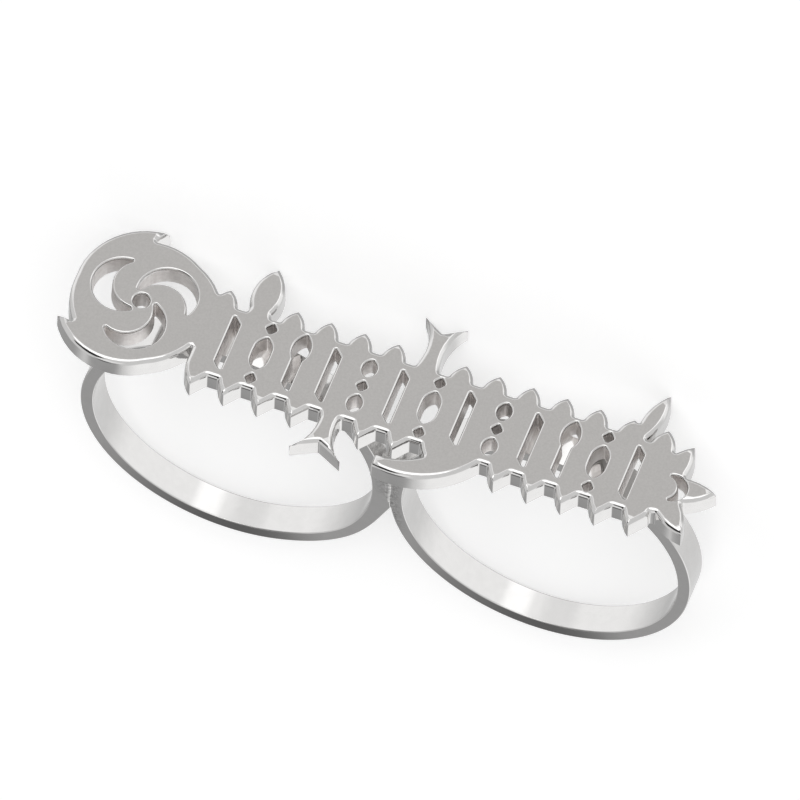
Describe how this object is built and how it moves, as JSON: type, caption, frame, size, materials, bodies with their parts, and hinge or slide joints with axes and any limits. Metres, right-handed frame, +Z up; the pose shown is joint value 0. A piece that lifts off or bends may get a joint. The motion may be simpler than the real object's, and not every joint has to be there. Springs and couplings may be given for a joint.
{
  "type": "two finger ring",
  "caption": "Ring worn across neighbouring fingers: a flat pierced silver plate in Gothic tracery, soldered across plain round bands, lying on its side.",
  "frame": {"origin": "centre of the bounding box at the level of the surface that the ring lies on", "axes": "+X along the plate, +Y from the face of the plate towards the far side of the bands, +Z up from the surface; the fingers pass through the bands near to the Z axis, tilted by 12.6 degrees"},
  "size_m": [0.0406, 0.021, 0.0113],
  "materials": {
    "polished_silver": "sterling silver, polished, with a fine satin on the flat face of the plate and a rough solder joint between the bands"
  },
  "bodies": {
    "root": {"ring": "polished_silver"}
  },
  "joints": []
}
